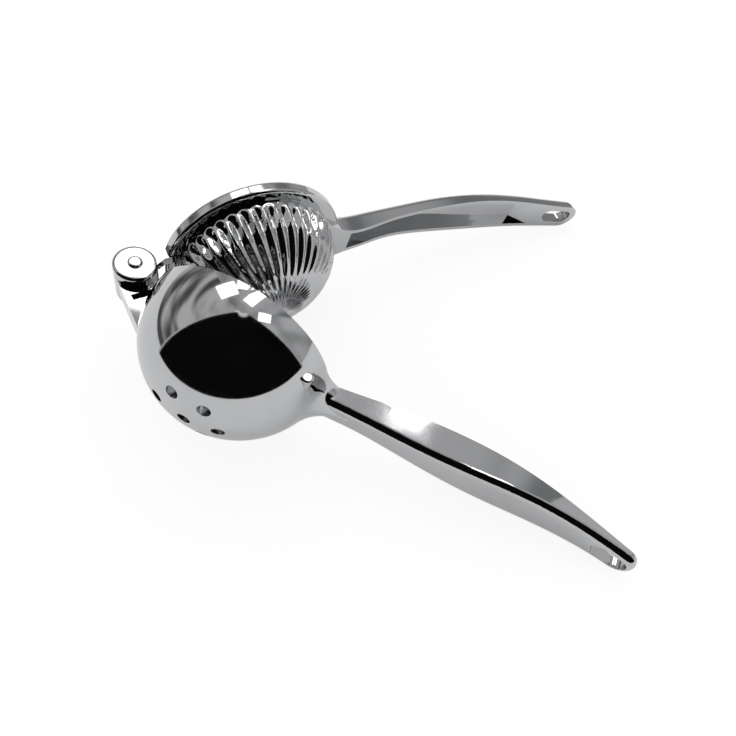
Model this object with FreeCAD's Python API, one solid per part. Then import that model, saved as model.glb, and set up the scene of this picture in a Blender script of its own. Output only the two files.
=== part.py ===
"""Hinged lemon squeezer: a bowl arm, a press arm and the pin that joins them.

All sizes are in millimetres. Both arms are drawn in an arm frame first: x runs
along the arm from the hinge, y points to the opening side of the bowl, and z is
the hinge axis. The finished pieces are then set down on the table, with the
press arm swung open.
"""
import FreeCAD
import Part

import math
import os

# Bowl
bowl_radius = 35.0
bowl_wall = 3.0
bowl_hinge_gap = 9.2
bowl_center_x = bowl_radius + bowl_hinge_gap
bowl_edge_x = bowl_center_x + bowl_radius
bowl_rim_y = -0.8
drain_diameter = 4.8
drain_count = 6
drain_ring_angle = 19.5
drain_start_angle = 90.0

# Press head
flange_inset = 0.2
flange_radius = bowl_radius - flange_inset
flange_height = 4.6
flange_offset = 0.8
flange_center_x = bowl_center_x + flange_offset
flange_edge_round = 1.2
dome_clearance = 1.5
dome_radius = bowl_radius - bowl_wall - dome_clearance
dome_flattening = 5.5
dome_depth = dome_radius - dome_flattening
dome_neck = 1.8
dome_wall = 3.0
dome_tip_radius = 1.5
rib_count = 42
rib_height = 0.75
points_per_rib = 4
dome_levels = 7
dome_first_angle = 5.0

# Hinge
pin_diameter = 5.0
pin_head_height = 0.9
pin_running_clearance = 0.05
knuckle_radius = 7.5
knuckle_half_width = 8.8
ear_thickness = 4.0
ear_side_clearance = 0.15
ear_edge_round = 1.3
web_reach_angle = 29.4
web_pocket_depth = 1.8
web_pocket_x = 5.0
web_pocket_y = -9.5
web_pocket_share = 0.8
neck_root_x = 2.0
neck_root_drop = 0.3
neck_root_width = 5.0
neck_low_x = 10.0
neck_low_y = -0.4
neck_end_x = 17.0
neck_inset = 0.3

# Handles
handle_length = 208.0
handle_reach = handle_length - bowl_edge_x
handle_tip_half = 6.8
handle_half_width = 9.6
handle_arch = 10.0
handle_wall = 1.9
handle_floor = 2.0
handle_edge_round = 2.8
root_round = 16.0
root_end_radius = 4.2
root_slope = -2.3
channel_lead = 5.8
channel_start_share = 0.69
channel_setback = 24.0
channel_ramp = 9.0
hole_length = 15.0
hole_width = 7.5
hole_setback = 10.5

# Stud on the upper side of the bowl arm
stud_diameter = 4.2
stud_x_share = 0.803
stud_y_share = -0.26
stud_sink = 3.3
stud_proud = 1.8
stud_edge_round = 0.8

# Pose
photo_angle = 52.0
tip_contact_angle = 11.0

# Helpers
X_AXIS = FreeCAD.Vector(1, 0, 0)
Y_AXIS = FreeCAD.Vector(0, 1, 0)
Z_AXIS = FreeCAD.Vector(0, 0, 1)
ORIGIN = FreeCAD.Vector(0, 0, 0)
far = 300.0
touch = 0.001

# Handle profiles. The first number is the share of the way from the bowl's far
# edge to the tip, and is below zero inside the bowl. The second is a share of
# the handle's widest half width, or of its arch in the side views.
bowl_root_half_widths = [
    (-0.149, 0.719),
    (0.000, 0.677),
]
press_root_half_widths = [
    (-0.071, 1.771),
    (-0.002, 0.938),
    (0.045, 0.708),
]
handle_half_widths = [
    (0.099, 0.646),
    (0.255, 0.719),
    (0.402, 0.885),
    (0.550, 1.000),
    (0.674, 0.958),
    (0.798, 0.833),
]
bowl_handle_inner = [
    (-0.149, -0.08),
    (-0.002, -0.04),
    (0.099, 0.26),
    (0.247, 0.64),
    (0.433, 0.87),
    (0.612, 0.87),
    (0.783, 0.70),
    (0.922, 0.46),
    (1.008, 0.28),
]
bowl_handle_outer = [
    (-0.149, -0.96),
    (0.000, -0.78),
    (0.099, -0.64),
    (0.278, -0.52),
    (0.480, -0.32),
    (0.666, -0.04),
    (0.821, 0.06),
    (1.008, -0.10),
]
press_handle_inner = [
    (-0.102, 0.00),
    (-0.002, -0.19),
    (0.099, -0.14),
    (0.200, 0.06),
    (0.325, 0.11),
    (0.480, 0.00),
    (0.627, -0.22),
    (0.783, -0.63),
    (0.922, -1.09),
    (1.008, -1.34),
]
press_handle_outer = [
    (-0.102, 0.46),
    (0.006, 0.64),
    (0.123, 0.76),
    (0.255, 0.78),
    (0.402, 0.71),
    (0.557, 0.46),
    (0.705, 0.12),
    (0.860, -0.34),
    (1.008, -0.86),
]


def in_millimetres(profile, size):
    """Profile with its shares of the handle's reach and of a size turned into lengths."""
    return [(bowl_edge_x + along * handle_reach, share * size) for along, share in profile]


def height_at(profile, x):
    """Height of a side profile at x, on the straight line between its points."""
    points = in_millimetres(profile, handle_arch)
    pairs = zip(points, points[1:])
    (x_a, y_a), (x_b, y_b) = next(pair for pair in pairs if pair[1][0] >= x)
    return y_a + (y_b - y_a) * (x - x_a) / (x_b - x_a)


def curve_through(points):
    """Return the smooth edge through a list of points."""
    spline = Part.BSplineCurve()
    spline.interpolate(points)
    return spline.toShape()


def side_slab(upper, lower):
    """Solid between two side-view curves, very wide along z."""
    top = [FreeCAD.Vector(x, y, -far) for x, y in upper]
    bottom = [FreeCAD.Vector(x, y, -far) for x, y in lower]
    edges = [
        curve_through(top),
        Part.makeLine(top[-1], bottom[-1]),
        curve_through(bottom),
        Part.makeLine(bottom[0], top[0]),
    ]
    wire = Part.Wire(Part.__sortEdges__(edges))
    return Part.Face(wire).extrude(Z_AXIS * 2 * far)


def plan_slab(profile, inset):
    """Solid with the handle's outline seen from above, very deep along y."""
    tip_half = handle_tip_half - inset
    points = [(x, half - inset) for x, half in in_millimetres(profile, handle_half_width)]
    points.append((handle_length - inset - tip_half, tip_half))
    side = [FreeCAD.Vector(x, -far, half) for x, half in points]
    other = [FreeCAD.Vector(x, -far, -half) for x, half in points]
    tip = FreeCAD.Vector(handle_length - inset, -far, 0)
    edges = [
        curve_through(side),
        Part.Arc(side[-1], tip, other[-1]).toShape(),
        curve_through(other),
        Part.makeLine(other[0], side[0]),
    ]
    wire = Part.Wire(Part.__sortEdges__(edges))
    return Part.Face(wire).extrude(Y_AXIS * 2 * far)


def lies_on(edge, surface):
    """True if an edge lies on a surface at its start, middle and end."""
    span = edge.LastParameter - edge.FirstParameter
    places = [edge.FirstParameter + span * share for share in (0.1, 0.5, 0.9)]
    gaps = [Part.Vertex(edge.valueAt(place)).distToShape(surface)[0] for place in places]
    return max(gaps) < touch


def hanging_slot():
    """Slot with round ends that runs along y through the tip of a handle."""
    radius = hole_width / 2
    center_x = handle_length - hole_setback
    left = center_x - hole_length / 2 + radius
    right = center_x + hole_length / 2 - radius
    upper = Part.makeLine(FreeCAD.Vector(left, -far, radius), FreeCAD.Vector(right, -far, radius))
    lower = Part.makeLine(FreeCAD.Vector(right, -far, -radius), FreeCAD.Vector(left, -far, -radius))
    round_right = Part.Arc(
        FreeCAD.Vector(right, -far, radius),
        FreeCAD.Vector(right + radius, -far, 0),
        FreeCAD.Vector(right, -far, -radius),
    ).toShape()
    round_left = Part.Arc(
        FreeCAD.Vector(left, -far, -radius),
        FreeCAD.Vector(left - radius, -far, 0),
        FreeCAD.Vector(left, -far, radius),
    ).toShape()
    outline = Part.Wire([upper, round_right, lower, round_left])
    return Part.Face(outline).extrude(Y_AXIS * 2 * far)


def make_handle(root_profile, inner_profile, outer_profile):
    """Solid handle with its two long outer edges rounded."""
    inner = in_millimetres(inner_profile, handle_arch)
    outer = in_millimetres(outer_profile, handle_arch)
    body = side_slab(inner, outer).common(plan_slab(root_profile + handle_half_widths, 0.0))
    outer_line = curve_through([FreeCAD.Vector(x, y, -far) for x, y in outer])
    outer_sheet = outer_line.extrude(Z_AXIS * 2 * far)
    rims = [edge for edge in body.Edges
            if edge.BoundBox.XMax > bowl_edge_x and lies_on(edge, outer_sheet)]
    return body.makeFillet(handle_edge_round, rims)


def make_channel(inner_profile, outer_profile, open_side):
    """Hollow of a handle, open towards the other arm, with its end ramp."""
    inner = in_millimetres(inner_profile, handle_arch)
    outer = in_millimetres(outer_profile, handle_arch)
    floor = [(x, y + open_side * handle_floor) for x, y in outer]
    above = [(x, y + open_side * handle_reach) for x, y in inner]
    start = (channel_lead / handle_reach, channel_start_share)
    hollow = side_slab(above, floor).common(plan_slab([start] + handle_half_widths, handle_wall))
    ramp_top_x = handle_length - channel_setback
    ramp_foot_x = ramp_top_x - channel_ramp
    foot_y = height_at(outer_profile, ramp_foot_x) + open_side * handle_floor
    foot = FreeCAD.Vector(ramp_foot_x, foot_y, -far)
    top = FreeCAD.Vector(ramp_top_x, height_at(inner_profile, ramp_top_x), -far)
    along = (top - foot).normalize() * far
    corners = [foot - along, top + along, top + along + X_AXIS * far, foot - along + X_AXIS * far]
    ramp = Part.Face(Part.makePolygon(corners + corners[:1])).extrude(Z_AXIS * 2 * far)
    return hollow.cut(ramp)


def plate(outline, bottom, top):
    """Straight-sided plate with an outline in the arm's side view."""
    corners = [FreeCAD.Vector(x, y, bottom) for x, y in outline]
    return Part.Face(Part.makePolygon(corners + corners[:1])).extrude(Z_AXIS * (top - bottom))


def pin_bore(diameter):
    """Cylinder on the hinge axis, longer than the pin."""
    return Part.makeCylinder(diameter / 2, 2 * far, Z_AXIS * -far, Z_AXIS)


def make_web(half_width):
    """Plate from the knuckle to the bowl, with a shallow pocket on each face."""
    reach = math.radians(web_reach_angle)
    web_outer_x = bowl_center_x - bowl_radius * math.cos(reach)
    web_outer_y = bowl_rim_y - bowl_radius * math.sin(reach)
    lean = math.atan2(web_outer_y, web_outer_x)
    outline = [
        (knuckle_radius * math.sin(lean), -knuckle_radius * math.cos(lean)),
        (web_outer_x, web_outer_y),
        (bowl_center_x, bowl_rim_y),
        (knuckle_radius / 2, bowl_rim_y),
        (0.0, 0.0),
    ]
    pocket = [
        (web_pocket_x, web_pocket_y),
        (web_outer_x, web_outer_y * web_pocket_share),
        (bowl_center_x, bowl_rim_y - web_pocket_depth),
        (knuckle_radius + web_pocket_depth, bowl_rim_y - web_pocket_depth),
    ]
    web = plate(outline, -half_width, half_width)
    web = web.cut(plate(pocket, half_width - web_pocket_depth, half_width))
    return web.cut(plate(pocket, -half_width, web_pocket_depth - half_width))


def make_stud():
    """Short post with a rounded top edge."""
    skin = bowl_radius * math.sqrt(1 - stud_x_share ** 2 - stud_y_share ** 2)
    foot = FreeCAD.Vector(
        bowl_center_x + bowl_radius * stud_x_share,
        bowl_rim_y + bowl_radius * stud_y_share,
        skin - stud_sink,
    )
    stud = Part.makeCylinder(stud_diameter / 2, stud_sink + stud_proud, foot, Z_AXIS)
    top_edges = [edge for edge in stud.Edges if edge.BoundBox.ZMin > skin]
    return stud.makeFillet(stud_edge_round, top_edges)


def make_drains(center):
    """Drain bores: one through the bowl's pole and a ring round it."""
    middle = Part.makeCylinder(drain_diameter / 2, bowl_radius + bowl_wall, center, -Y_AXIS)
    drains = [middle]
    for index in range(drain_count):
        drain = middle.copy()
        drain.rotate(center, X_AXIS, drain_ring_angle)
        drain.rotate(center, Y_AXIS, 360.0 / drain_count * index + drain_start_angle)
        drains.append(drain)
    return drains


def make_root(center):
    """Trumpet from the ball to the handle, round about the handle's root line.

    Its outline is a hollow arc that is tangent to the ball.
    """
    arc_height = root_end_radius + root_round
    arc_x = math.sqrt((bowl_radius + root_round) ** 2 - arc_height ** 2)
    lean = math.atan2(arc_height, arc_x)
    low = -(lean + math.pi / 2) / 2
    ball_point = FreeCAD.Vector(bowl_radius * math.cos(lean), bowl_radius * math.sin(lean), 0)
    end_point = FreeCAD.Vector(arc_x, root_end_radius, 0)
    arc_middle = FreeCAD.Vector(
        arc_x - root_round * math.cos(low), arc_height + root_round * math.sin(low), 0)
    edges = [
        Part.makeLine(ORIGIN, ball_point),
        Part.Arc(ball_point, arc_middle, end_point).toShape(),
        Part.makeLine(end_point, FreeCAD.Vector(arc_x, 0, 0)),
        Part.makeLine(FreeCAD.Vector(arc_x, 0, 0), ORIGIN),
    ]
    root = Part.Face(Part.Wire(edges)).revolve(ORIGIN, X_AXIS, 360.0)
    root.rotate(ORIGIN, Z_AXIS, root_slope)
    root.translate(center)
    inner = in_millimetres(bowl_handle_inner, handle_arch)
    below = [(x, y - far) for x, y in inner]
    return root.common(side_slab(inner, below))


def make_bowl_arm():
    """Perforated half ball with the middle knuckle, the stud and the handle."""
    center = FreeCAD.Vector(bowl_center_x, bowl_rim_y, 0)
    over_rim = Part.makeBox(
        2 * bowl_radius, far, 4 * bowl_radius,
        FreeCAD.Vector(bowl_center_x - bowl_radius, bowl_rim_y, -2 * bowl_radius),
    )
    ball = Part.makeSphere(bowl_radius, center).cut(over_rim)
    handle = make_handle(bowl_root_half_widths, bowl_handle_inner, bowl_handle_outer)
    knuckle_half = knuckle_half_width - ear_thickness - ear_side_clearance
    knuckle = Part.makeCylinder(knuckle_radius, 2 * knuckle_half, Z_AXIS * -knuckle_half, Z_AXIS)
    arm = ball.multiFuse([make_root(center), handle, knuckle, make_web(knuckle_half), make_stud()])
    arm = arm.cut(Part.makeSphere(bowl_radius - bowl_wall, center))
    arm = arm.cut(make_channel(bowl_handle_inner, bowl_handle_outer, 1.0))
    arm = arm.cut(hanging_slot())
    arm = arm.cut(pin_bore(pin_diameter + 2 * pin_running_clearance))
    return arm.cut(make_drains(center))


def rib_wire(depth, radius, height):
    """Closed wavy line around the dome, one wave for each rib."""
    count = rib_count * points_per_rib
    points = []
    for index in range(count):
        turn = 2 * math.pi * index / count
        reach = radius + height * math.cos(turn * rib_count)
        points.append(FreeCAD.Vector(
            flange_center_x + reach * math.cos(turn), -depth, reach * math.sin(turn)))
    spline = Part.BSplineCurve()
    spline.interpolate(points, True)
    return Part.Wire(spline.toShape())


def make_dome():
    """Ribbed dome: wavy rings joined into one skin, closed at the tip."""
    wires = [rib_wire(depth, dome_radius, 0.0) for depth in (-flange_height / 2, 0.0, dome_neck)]
    first = math.radians(dome_first_angle)
    last = math.acos(dome_tip_radius / dome_radius)
    for level in range(dome_levels):
        angle = first + (last - first) * level / (dome_levels - 1)
        share = math.cos(angle)
        depth = dome_neck + dome_depth * math.sin(angle)
        wires.append(rib_wire(depth, (dome_radius - rib_height) * share, rib_height * share))
    return Part.makeLoft(wires, True, False)


def make_head_hollow():
    """Smooth room behind the dome, open at the back of the head."""
    radius = dome_radius - dome_wall
    depth = dome_neck + dome_depth - dome_wall
    back = 2 * flange_height
    bend = math.pi / 4
    bottom = FreeCAD.Vector(0, -depth, 0)
    middle = FreeCAD.Vector(radius * math.cos(bend), -depth * math.sin(bend), 0)
    side = FreeCAD.Vector(radius, 0, 0)
    edges = [
        Part.Arc(bottom, middle, side).toShape(),
        Part.makeLine(side, FreeCAD.Vector(radius, back, 0)),
        Part.makeLine(FreeCAD.Vector(radius, back, 0), FreeCAD.Vector(0, back, 0)),
        Part.makeLine(FreeCAD.Vector(0, back, 0), bottom),
    ]
    room = Part.Face(Part.Wire(edges)).revolve(ORIGIN, Y_AXIS, 360.0)
    room.translate(X_AXIS * flange_center_x)
    return room


def make_ear(inner_level, outer_level):
    """Hinge ear with its neck to the flange; its outer flat side has a round edge."""
    bottom = min(inner_level, outer_level)
    ear = Part.makeCylinder(knuckle_radius, ear_thickness, Z_AXIS * bottom, Z_AXIS)
    rim = [edge for edge in ear.Edges
           if edge.BoundBox.ZLength < touch and abs(edge.BoundBox.ZMin - outer_level) < touch]
    outline = [
        (neck_root_x, knuckle_radius - neck_root_drop),
        (neck_end_x, flange_height),
        (neck_end_x, 0.0),
        (neck_low_x, neck_low_y),
        (neck_root_x, -neck_root_width),
    ]
    levels = sorted([inner_level, outer_level - math.copysign(neck_inset, outer_level)])
    return [ear.makeFillet(ear_edge_round, rim), plate(outline, levels[0], levels[1])]


def make_press_arm():
    """Flange with the ribbed dome, two hinge ears and the handle."""
    back_center = FreeCAD.Vector(flange_center_x, 0, 0)
    flange = Part.makeCylinder(flange_radius, flange_height, back_center, Y_AXIS)
    rims = [edge for edge in flange.Edges if edge.BoundBox.YLength < touch]
    inner_level = knuckle_half_width - ear_thickness
    pieces = [make_dome(), make_handle(press_root_half_widths, press_handle_inner, press_handle_outer)]
    pieces = pieces + make_ear(inner_level, knuckle_half_width)
    pieces = pieces + make_ear(-inner_level, -knuckle_half_width)
    arm = flange.makeFillet(flange_edge_round, rims).multiFuse(pieces)
    arm = arm.cut(make_head_hollow())
    arm = arm.cut(make_channel(press_handle_inner, press_handle_outer, -1.0))
    return arm.cut(hanging_slot()).cut(pin_bore(pin_diameter))


def make_pin():
    """Straight pin with two domed ends that stand proud of the ears."""
    half = knuckle_half_width + pin_head_height
    pin = Part.makeCylinder(pin_diameter / 2, 2 * half, Z_AXIS * -half, Z_AXIS)
    ends = [edge for edge in pin.Edges if edge.BoundBox.ZLength < touch]
    return pin.makeFillet(pin_head_height, ends)


def tip_contact(inner_profile, turn):
    """Lowest point of a handle's tip when the hinge end is raised."""
    lean = math.radians(tip_contact_angle)
    x = handle_length - handle_tip_half * (1 - math.sin(lean))
    point = FreeCAD.Vector(x, height_at(inner_profile, x), -handle_tip_half * math.cos(lean))
    return FreeCAD.Rotation(Z_AXIS, turn).multVec(point)


def table_normal():
    """Upward normal of the table that carries both tips and the bowl."""
    tip_a = tip_contact(bowl_handle_inner, 0.0)
    tip_b = tip_contact(press_handle_inner, photo_angle)
    along = (tip_b - tip_a).normalize()
    reach = FreeCAD.Vector(bowl_center_x, bowl_rim_y, 0) - tip_a
    across = reach - along * reach.dot(along)
    share = bowl_radius / across.Length
    across.normalize()
    sideways = along.cross(across)
    if sideways.z < 0:
        sideways = sideways * -1
    return across * share + sideways * math.sqrt(1 - share * share)


def main():
    """Build the three pieces and write one file for each."""
    press_arm = make_press_arm()
    press_arm.rotate(ORIGIN, Z_AXIS, photo_angle)
    pieces = {
        "bowl_arm": make_bowl_arm(),
        "press_arm": press_arm,
        "hinge_pin": make_pin(),
    }
    os.makedirs("parts", exist_ok=True)
    level = FreeCAD.Rotation(table_normal(), Z_AXIS)
    heading = level.multVec(X_AXIS)
    spin = FreeCAD.Rotation(Z_AXIS, -math.degrees(math.atan2(heading.y, heading.x)))
    turn = spin.multiply(level)
    for shape in pieces.values():
        shape.Placement = FreeCAD.Placement(ORIGIN, turn).multiply(shape.Placement)
    whole = Part.makeCompound(list(pieces.values())).optimalBoundingBox(True)
    middle = FreeCAD.Vector((whole.XMin + whole.XMax) / 2, (whole.YMin + whole.YMax) / 2, whole.ZMin)
    for name, shape in pieces.items():
        shape.translate(middle * -1)
        shape.exportStep("parts/" + name + ".step")


main()
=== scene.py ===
import logging
from dataclasses import dataclass

import bpy
import numpy as np
from mathutils import Matrix, Vector

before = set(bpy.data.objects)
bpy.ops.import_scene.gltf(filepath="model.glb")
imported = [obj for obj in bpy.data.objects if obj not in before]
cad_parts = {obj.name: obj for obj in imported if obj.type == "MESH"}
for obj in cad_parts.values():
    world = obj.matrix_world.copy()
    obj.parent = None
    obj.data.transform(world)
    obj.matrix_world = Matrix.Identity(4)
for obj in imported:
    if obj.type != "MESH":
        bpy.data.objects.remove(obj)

log = logging.getLogger("lemon_squeezer")

MM = 0.001


def linear(hex_colour: str) -> tuple[float, float, float, float]:
    """Turn an sRGB hex colour into linear RGBA.

    Args:
        hex_colour: Colour such as "#c8cacc".

    Returns:
        Linear red, green, blue and an alpha of one.
    """
    channels = np.array([int(hex_colour[i:i + 2], 16) for i in (1, 3, 5)]) / 255.0
    low = channels / 12.92
    high = ((channels + 0.055) / 1.055) ** 2.4
    red, green, blue = np.where(channels <= 0.04045, low, high)
    return float(red), float(green), float(blue), 1.0


def pattern_scale(size_mm: float) -> float:
    """Turn the real size of a pattern's patches into a texture scale.

    Args:
        size_mm: Size of one patch, wave or fold.

    Returns:
        How many of them lie in a metre.
    """
    return 1.0 / (size_mm * MM)


def add_node(
    tree: bpy.types.NodeTree,
    kind: str,
    settings: dict | None = None,
    values: dict | None = None,
    links: dict | None = None,
) -> bpy.types.Node:
    """Add one node with its settings, socket values and incoming links.

    A socket is given by its name, or by its number where a node has several
    of the same name.

    Args:
        tree: Node tree that gets the node.
        kind: Blender's node type name.
        settings: Properties of the node.
        values: Constant values for its input sockets.
        links: Output sockets to join to its input sockets.

    Returns:
        The new node.
    """
    node = tree.nodes.new(kind)
    for name, value in (settings or {}).items():
        setattr(node, name, value)
    for socket, value in (values or {}).items():
        node.inputs[socket].default_value = value
    for socket, output in (links or {}).items():
        tree.links.new(output, node.inputs[socket])
    return node


def empty_material(name: str) -> bpy.types.Material:
    """Make a material with an empty node tree."""
    material = bpy.data.materials.new(name)
    material.use_nodes = True
    material.node_tree.nodes.clear()
    return material


@dataclass(frozen=True)
class ChromePlate:
    """Bright chrome plate over a polished zinc casting.

    It is a mirror with a faint cool tint. The polished casting under it leaves
    the mirror slightly wavy, handling leaves it a little hazy in patches, and
    buffing leaves a fine grain in the shine.
    """

    name: str = "polished_chrome_plate"
    bright: str = "#c4c5c6"
    hazy: str = "#b6b7b9"
    clear_roughness: float = 0.035
    hazy_roughness: float = 0.09
    haze_mm: float = 22.0
    haze_starts: float = 0.35
    haze_full: float = 0.75
    buff_mm: float = 0.6
    buff_low: float = 0.3
    buff_high: float = 0.7
    buff_roughness: float = 0.012
    wave_mm: float = 9.0
    wave_depth_mm: float = 0.012

    def make(self) -> bpy.types.Material:
        """Build the node material.

        Returns:
            The finished material.
        """
        material = empty_material(self.name)
        tree = material.node_tree
        place = add_node(tree, "ShaderNodeTexCoord").outputs["Object"]
        haze = add_node(
            tree, "ShaderNodeTexNoise",
            values={"Scale": pattern_scale(self.haze_mm), "Detail": 4.0, "Roughness": 0.6},
            links={"Vector": place},
        )
        wave = add_node(
            tree, "ShaderNodeTexNoise",
            values={"Scale": pattern_scale(self.wave_mm), "Detail": 1.0, "Roughness": 0.4},
            links={"Vector": place},
        )
        buff = add_node(
            tree, "ShaderNodeTexNoise",
            values={"Scale": pattern_scale(self.buff_mm), "Detail": 2.0},
            links={"Vector": place},
        )
        patches = add_node(
            tree, "ShaderNodeMapRange",
            values={
                "From Min": self.haze_starts,
                "From Max": self.haze_full,
                "To Min": self.clear_roughness,
                "To Max": self.hazy_roughness,
            },
            links={"Value": haze.outputs["Fac"]},
        )
        grain = add_node(
            tree, "ShaderNodeMapRange",
            values={
                "From Min": self.buff_low,
                "From Max": self.buff_high,
                "To Min": -self.buff_roughness,
                "To Max": self.buff_roughness,
            },
            links={"Value": buff.outputs["Fac"]},
        )
        rough = add_node(
            tree, "ShaderNodeMath", {"operation": "ADD", "use_clamp": True},
            links={0: patches.outputs["Result"], 1: grain.outputs["Result"]},
        )
        tint = add_node(
            tree, "ShaderNodeMix", {"data_type": "RGBA"},
            values={"A": linear(self.bright), "B": linear(self.hazy)},
            links={"Factor": haze.outputs["Fac"]},
        )
        bump = add_node(
            tree, "ShaderNodeBump",
            values={"Strength": 1.0, "Distance": self.wave_depth_mm * MM},
            links={"Height": wave.outputs["Fac"]},
        )
        shader = add_node(
            tree, "ShaderNodeBsdfPrincipled",
            values={"Metallic": 1.0},
            links={
                "Base Color": tint.outputs["Result"],
                "Roughness": rough.outputs[0],
                "Normal": bump.outputs["Normal"],
            },
        )
        add_node(tree, "ShaderNodeOutputMaterial", links={"Surface": shader.outputs["BSDF"]})
        return material


@dataclass(frozen=True)
class TumbledSteel:
    """Tumbled steel of the hinge pin.

    Tumbling leaves a fine, even grit, which makes it softer than the chrome.
    """

    name: str = "tumbled_steel"
    colour: str = "#c6c6c3"
    roughness: float = 0.24
    roughness_spread: float = 0.06
    grit_mm: float = 0.25
    grit_depth_mm: float = 0.006

    def make(self) -> bpy.types.Material:
        """Build the node material.

        Returns:
            The finished material.
        """
        material = empty_material(self.name)
        tree = material.node_tree
        place = add_node(tree, "ShaderNodeTexCoord").outputs["Object"]
        grit = add_node(
            tree, "ShaderNodeTexNoise",
            values={"Scale": pattern_scale(self.grit_mm), "Detail": 3.0},
            links={"Vector": place},
        )
        bump = add_node(
            tree, "ShaderNodeBump",
            values={"Strength": 1.0, "Distance": self.grit_depth_mm * MM},
            links={"Height": grit.outputs["Fac"]},
        )
        rough = add_node(
            tree, "ShaderNodeMapRange",
            values={
                "To Min": self.roughness - self.roughness_spread,
                "To Max": self.roughness + self.roughness_spread,
            },
            links={"Value": grit.outputs["Fac"]},
        )
        shader = add_node(
            tree, "ShaderNodeBsdfPrincipled",
            values={"Metallic": 1.0, "Base Color": linear(self.colour)},
            links={"Roughness": rough.outputs["Result"], "Normal": bump.outputs["Normal"]},
        )
        add_node(tree, "ShaderNodeOutputMaterial", links={"Surface": shader.outputs["BSDF"]})
        return material


@dataclass(frozen=True)
class PaperSweep:
    """Matt white paper of the table, lit until it is nearly even white.

    The camera sees mostly the even white, so only a faint shadow is left. The
    chrome mirrors mostly the matt paper, which is a little darker.
    """

    name: str = "white_paper"
    colour: str = "#f4f4f4"
    white_level: float = 1.02
    seen_share: float = 0.86
    mirrored_share: float = 0.1

    def make(self) -> bpy.types.Material:
        """Build the node material.

        Returns:
            The finished material.
        """
        material = empty_material(self.name)
        tree = material.node_tree
        path = add_node(tree, "ShaderNodeLightPath")
        seen = add_node(
            tree, "ShaderNodeMath", {"operation": "MULTIPLY"},
            values={1: self.seen_share}, links={0: path.outputs["Is Camera Ray"]},
        )
        bounced = add_node(
            tree, "ShaderNodeMath", {"operation": "MAXIMUM"},
            links={0: path.outputs["Is Glossy Ray"], 1: path.outputs["Is Transmission Ray"]},
        )
        mirrored = add_node(
            tree, "ShaderNodeMath", {"operation": "MULTIPLY"},
            values={1: self.mirrored_share}, links={0: bounced.outputs[0]},
        )
        share = add_node(
            tree, "ShaderNodeMath", {"operation": "MAXIMUM"},
            links={0: seen.outputs[0], 1: mirrored.outputs[0]},
        )
        paper = add_node(
            tree, "ShaderNodeBsdfDiffuse", values={"Color": linear(self.colour)}
        )
        white = add_node(tree, "ShaderNodeEmission", values={"Strength": self.white_level})
        mixed = add_node(
            tree, "ShaderNodeMixShader",
            links={
                0: share.outputs[0],
                1: paper.outputs["BSDF"],
                2: white.outputs["Emission"],
            },
        )
        add_node(tree, "ShaderNodeOutputMaterial", links={"Surface": mixed.outputs["Shader"]})
        return material


@dataclass(frozen=True)
class PaintedLightCloth:
    """Studio cloth that the chrome mirrors, hung in soft folds, made as a glowing sheet: its
    brightness is painted light and the dark in its folds is painted shade.

    The folds are upright where they are short across and long upright, and
    level swags where it is the other way round.
    """

    name: str
    dark: str
    light: str
    across_mm: float = 900.0
    upright_mm: float = 6000.0
    painted_light_starts: float = 0.36
    painted_light_full: float = 0.62

    def make(self) -> bpy.types.Material:
        """Build the node material.

        Returns:
            The finished material.
        """
        material = empty_material(self.name)
        tree = material.node_tree
        place = add_node(tree, "ShaderNodeTexCoord").outputs["Object"]
        across = pattern_scale(self.across_mm)
        stretched = add_node(
            tree, "ShaderNodeMapping",
            values={"Scale": (across, across, pattern_scale(self.upright_mm))},
            links={"Vector": place},
        )
        folds = add_node(
            tree, "ShaderNodeTexNoise",
            values={"Scale": 1.0, "Detail": 1.5, "Roughness": 0.45},
            links={"Vector": stretched.outputs["Vector"]},
        )
        # Painted shade and painted light: the noise turns into a darker and lighter tone of the
        # folds, which stands in for how light falls on them.
        fold_shading = add_node(
            tree, "ShaderNodeMapRange", {"interpolation_type": "SMOOTHSTEP"},
            values={"From Min": self.painted_light_starts, "From Max": self.painted_light_full},
            links={"Value": folds.outputs["Fac"]},
        )
        painted_fold_tone = add_node(
            tree, "ShaderNodeMix", {"data_type": "RGBA"},
            values={"A": linear(self.dark), "B": linear(self.light)},
            links={"Factor": fold_shading.outputs["Result"]},
        )
        # The sheet glows with this painted tone, though it is no lamp.
        painted_glow = add_node(
            tree, "ShaderNodeEmission",
            values={"Strength": 1.0}, links={"Color": painted_fold_tone.outputs["Result"]},
        )
        add_node(tree, "ShaderNodeOutputMaterial", links={"Surface": painted_glow.outputs["Emission"]})
        return material


def grid_mesh(name: str, points: np.ndarray) -> bpy.types.Object:
    """Join a grid of points with quads.

    The point at row i and column j is joined to its neighbours in the next row
    and the next column.

    Args:
        name: Name of the object and its mesh.
        points: Array of rows x columns x 3, in metres.

    Returns:
        The new object, linked to the scene.
    """
    rows, columns, _ = points.shape
    index = np.arange(rows * columns).reshape(rows, columns)
    quads = np.stack(
        [index[:-1, :-1], index[:-1, 1:], index[1:, 1:], index[1:, :-1]], axis=-1
    ).reshape(-1, 4)
    mesh = bpy.data.meshes.new(name)
    mesh.from_pydata(points.reshape(-1, 3).tolist(), [], quads.tolist())
    mesh.update()
    made = bpy.data.objects.new(name, mesh)
    bpy.context.scene.collection.objects.link(made)
    return made


def towards(azimuth: float | np.ndarray, elevation: float | np.ndarray) -> np.ndarray:
    """Work out unit vectors from the object towards places round it.

    X is the sine of the azimuth times the cosine of the elevation, Y is minus
    the cosine of the azimuth times the cosine of the elevation, and Z is the
    sine of the elevation.

    Args:
        azimuth: Degrees round the object; 0 is the near side, -Y.
        elevation: Degrees above the table.

    Returns:
        The vectors, with X, Y and Z along the last axis.
    """
    a = np.radians(azimuth)
    e = np.radians(elevation)
    return np.stack([np.sin(a) * np.cos(e), -np.cos(a) * np.cos(e), np.sin(e)], axis=-1)


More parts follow.
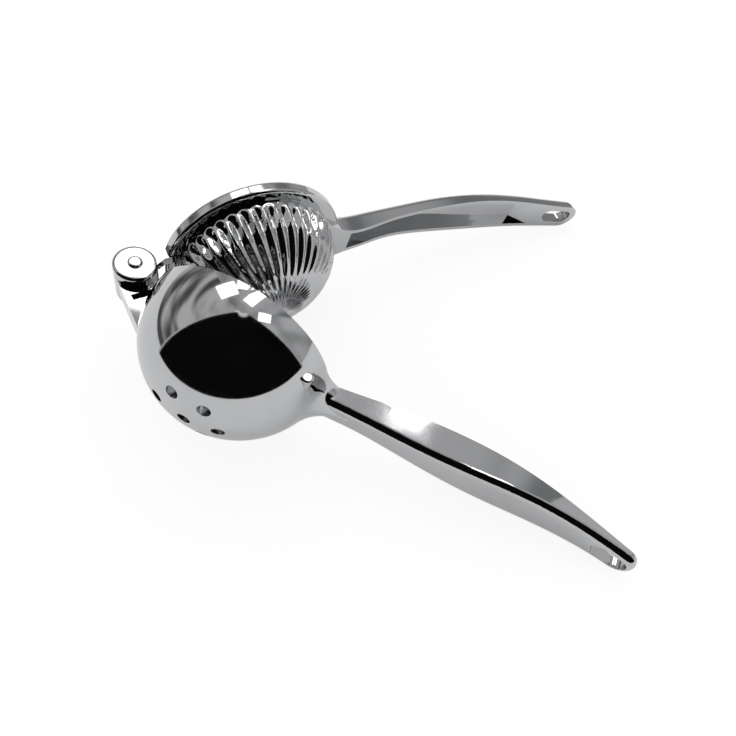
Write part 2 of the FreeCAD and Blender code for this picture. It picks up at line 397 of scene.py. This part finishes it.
@dataclass(frozen=True)
class CadPiece:
    """A piece that shows its CAD node as it is, and only needs a finish."""

    node: str

    def dress(self, material: bpy.types.Material) -> None:
        """Give every material slot of the node the same finish.

        Args:
            material: The finish.
        """
        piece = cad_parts[self.node]
        if not piece.material_slots:
            piece.data.materials.append(material)
        for slot in piece.material_slots:
            slot.material = material
        log.info("%s dressed with %s", self.node, material.name)


@dataclass(frozen=True)
class BowlArm(CadPiece):
    """The arm with the pierced bowl: one chromed casting."""

    node: str = "bowl_arm"


@dataclass(frozen=True)
class PressArm(CadPiece):
    """The arm with the ribbed press head: one chromed casting."""

    node: str = "press_arm"


@dataclass(frozen=True)
class HingePin(CadPiece):
    """The steel pin through both ears and the knuckle."""

    node: str = "hinge_pin"


@dataclass(frozen=True)
class Camera:
    """Camera at the photograph's place, in millimetres of the row frame."""

    place_mm: tuple[float, float, float] = (19.11, -141.06, 216.49)
    right: tuple[float, float, float] = (0.88715, 0.45317, 0.08726)
    up: tuple[float, float, float] = (-0.43877, 0.76964, 0.46384)
    focal_pixels: float = 575.70
    image_pixels: float = 736.0
    sensor_mm: float = 36.0
    nearest_mm: float = 10.0
    farthest_mm: float = 20000.0

    def make(self) -> bpy.types.Object:
        """Build the camera and make it the scene's own.

        Returns:
            The camera object.
        """
        right = Vector(self.right).normalized()
        up = Vector(self.up)
        up = (up - right * up.dot(right)).normalized()
        back = right.cross(up)
        data = bpy.data.cameras.new("camera")
        data.sensor_width = self.sensor_mm
        data.lens = self.sensor_mm * self.focal_pixels / self.image_pixels
        data.clip_start = self.nearest_mm * MM
        data.clip_end = self.farthest_mm * MM
        camera = bpy.data.objects.new("camera", data)
        turn = Matrix((right, up, back)).transposed().to_4x4()
        camera.matrix_world = Matrix.Translation(Vector(self.place_mm) * MM) @ turn
        bpy.context.scene.collection.objects.link(camera)
        bpy.context.scene.camera = camera
        log.info("camera placed")
        return camera


@dataclass(frozen=True)
class SoftBox:
    """Rectangular lamp that faces the object, at an azimuth and an elevation."""

    name: str
    azimuth: float
    elevation: float
    width_mm: float
    height_mm: float
    watts: float
    distance_mm: float = 3000.0

    def make(self) -> bpy.types.Object:
        """Hang the lamp.

        Returns:
            The lamp object.
        """
        away = Vector(towards(self.azimuth, self.elevation))
        data = bpy.data.lights.new(self.name, "AREA")
        data.shape = "RECTANGLE"
        data.size = self.width_mm * MM
        data.size_y = self.height_mm * MM
        data.energy = self.watts
        lamp = bpy.data.objects.new(self.name, data)
        lamp.location = away * (self.distance_mm * MM)
        lamp.rotation_euler = (-away).to_track_quat("-Z", "Y").to_euler()
        bpy.context.scene.collection.objects.link(lamp)
        return lamp


@dataclass(frozen=True)
class ClothCard:
    """Curved card of glowing cloth round the object, part of a sphere; its glow is painted
    light.

    Only the chrome sees it: it is hidden from the camera, sends no light to
    matt things and casts no shadow.
    """

    cloth: PaintedLightCloth
    azimuths: tuple[float, float]
    elevations: tuple[float, float]
    distance_mm: float
    columns: int = 25
    rows: int = 13

    def make(self) -> bpy.types.Object:
        """Stand the card up.

        Each point is the distance times the unit vector of an azimuth and an
        elevation, both spread evenly over the card.

        Returns:
            The card object.
        """
        azimuth, elevation = np.meshgrid(
            np.linspace(*self.azimuths, self.columns),
            np.linspace(*self.elevations, self.rows),
        )
        points = self.distance_mm * MM * towards(azimuth, elevation)
        card = grid_mesh(self.cloth.name, points)
        card.data.materials.append(self.cloth.make())
        card.visible_camera = False
        card.visible_diffuse = False
        card.visible_shadow = False
        return card


@dataclass(frozen=True)
class Studio:
    """White table and room, with the soft boxes and cloths that the chrome mirrors.

    A dark glowing sheet of painted shade with a pale glowing hem of painted light stands on the
    camera's side; glowing cloth with painted light and shade hangs in level folds on the left,
    and in upright folds at the back and on the right.
    """

    paper: PaperSweep = PaperSweep()
    table_half_mm: float = 8000.0
    table_drop_mm: float = 0.05
    room_colour: str = "#ffffff"
    room_level: float = 0.8
    soft_boxes: tuple[SoftBox, ...] = (
        SoftBox("soft_box_over", 173.0, 62.0, 620.0, 1300.0, 9.0),
        SoftBox("soft_box_left", 232.0, 60.0, 900.0, 900.0, 8.0),
        SoftBox("soft_box_right", 119.0, 62.0, 500.0, 700.0, 3.0),
        SoftBox("soft_box_hinge", 206.0, 55.0, 500.0, 600.0, 2.2),
    )
    cards: tuple[ClothCard, ...] = (
        # Painted shade: a nearly black glowing sheet on the camera's side, which the chrome
        # mirrors as the dark of the room.
        ClothCard(
            PaintedLightCloth("painted_shade_sheet", "#060607", "#0c0c0e"),
            azimuths=(-52.0, 91.0), elevations=(-2.0, 84.0), distance_mm=620.0,
        ),
        # Painted highlight: a pale glowing rim round the dark sheet, which the chrome mirrors
        # as thin bright lines.
        ClothCard(
            PaintedLightCloth("painted_light_hem", "#b8b8b8", "#d8d8d8"),
            azimuths=(-53.6, 92.6), elevations=(-2.0, 85.6), distance_mm=630.0,
        ),
        # Painted light and shade: glowing grey cloth whose folds are darker and lighter by a
        # painted tone.
        ClothCard(
            PaintedLightCloth("left_painted_folds", "#585858", "#d4d4d2", across_mm=2400.0, upright_mm=660.0),
            azimuths=(-125.0, -53.0), elevations=(0.0, 86.0), distance_mm=3600.0,
        ),
        # Painted light and shade: glowing grey cloth whose folds are darker and lighter by a
        # painted tone.
        ClothCard(
            PaintedLightCloth("back_painted_folds", "#868788", "#c6c6c6", across_mm=1500.0),
            azimuths=(129.0, 235.0), elevations=(0.0, 86.0), distance_mm=3800.0,
        ),
        # Painted light and shade: glowing grey cloth whose folds are darker and lighter by a
        # painted tone.
        ClothCard(
            PaintedLightCloth("right_painted_folds", "#a0a0a0", "#d4d4d4", across_mm=1200.0),
            azimuths=(92.0, 129.0), elevations=(0.0, 80.0), distance_mm=3600.0,
        ),
    )

    def make_table(self) -> bpy.types.Object:
        """Build the flat table top, a square grid a hair below the object.

        Returns:
            The table object.
        """
        half = self.table_half_mm * MM
        x, y = np.meshgrid([-half, 0.0, half], [-half, 0.0, half])
        points = np.stack([x, y, np.full_like(x, -self.table_drop_mm * MM)], axis=-1)
        table = grid_mesh("table", points)
        table.data.materials.append(self.paper.make())
        return table

    def make_room(self) -> None:
        """Fill the world with white light.

        The camera and the chrome see full white, and matt things are lit by
        the room's level of it.
        """
        world = bpy.data.worlds.new("room")
        bpy.context.scene.world = world
        world.use_nodes = True
        tree = world.node_tree
        tree.nodes.clear()
        path = add_node(tree, "ShaderNodeLightPath")
        mirrored = add_node(
            tree, "ShaderNodeMath", {"operation": "MAXIMUM"},
            links={0: path.outputs["Is Glossy Ray"], 1: path.outputs["Is Transmission Ray"]},
        )
        seen = add_node(
            tree, "ShaderNodeMath", {"operation": "MAXIMUM"},
            links={0: path.outputs["Is Camera Ray"], 1: mirrored.outputs[0]},
        )
        level = add_node(
            tree, "ShaderNodeMapRange", values={"To Min": self.room_level, "To Max": 1.0},
            links={"Value": seen.outputs[0]},
        )
        white = add_node(
            tree, "ShaderNodeBackground",
            values={"Color": linear(self.room_colour)},
            links={"Strength": level.outputs["Result"]},
        )
        add_node(tree, "ShaderNodeOutputWorld", links={"Surface": white.outputs["Background"]})

    def make(self) -> None:
        """Build the whole studio."""
        self.make_table()
        self.make_room()
        for soft_box in self.soft_boxes:
            soft_box.make()
        for card in self.cards:
            card.make()
        log.info("studio built")


def main() -> None:
    """Build the camera, the pieces and the studio in order."""
    logging.basicConfig(level=logging.INFO, format="%(name)s: %(message)s")
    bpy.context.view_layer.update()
    Camera().make()
    chrome = ChromePlate().make()
    BowlArm().dress(chrome)
    PressArm().dress(chrome)
    HingePin().dress(TumbledSteel().make())
    Studio().make()
    scene = bpy.context.scene
    scene.view_settings.view_transform = "Standard"


if __name__ == "__main__":
    main()
